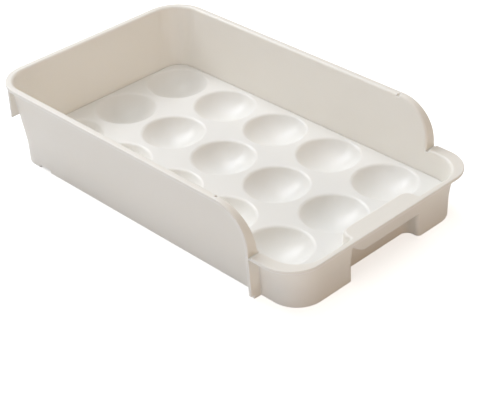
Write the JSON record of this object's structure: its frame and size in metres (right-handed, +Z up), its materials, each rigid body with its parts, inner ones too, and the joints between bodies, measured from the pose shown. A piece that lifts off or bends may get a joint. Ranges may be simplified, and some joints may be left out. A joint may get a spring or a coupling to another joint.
{
  "type": "egg storage box",
  "caption": "Long moulded kitchen box with leaning walls, a low curved front with a finger recess, and a lift-out tray of round egg hollows.",
  "frame": {"origin": "middle of the underside, on the plane the foot ring stands on, centred on the rim flange's outline", "axes": "+X to the right seen from the front, +Y to the tall back, +Z up; the low front with the finger recess faces -Y"},
  "size_m": [0.1836, 0.3006, 0.0655],
  "materials": {
    "box_plastic": "satin moulded white",
    "tray_plastic": "satin moulded white"
  },
  "bodies": {
    "box": {"box_shell": "box_plastic"},
    "tray": {"egg_tray_insert": "tray_plastic"}
  },
  "joints": [
    {"name": "tray_lift", "type": "slide", "parent": "box", "child": "tray", "axis": [0, 0, 1], "range_m": [0, 0.065]}
  ]
}
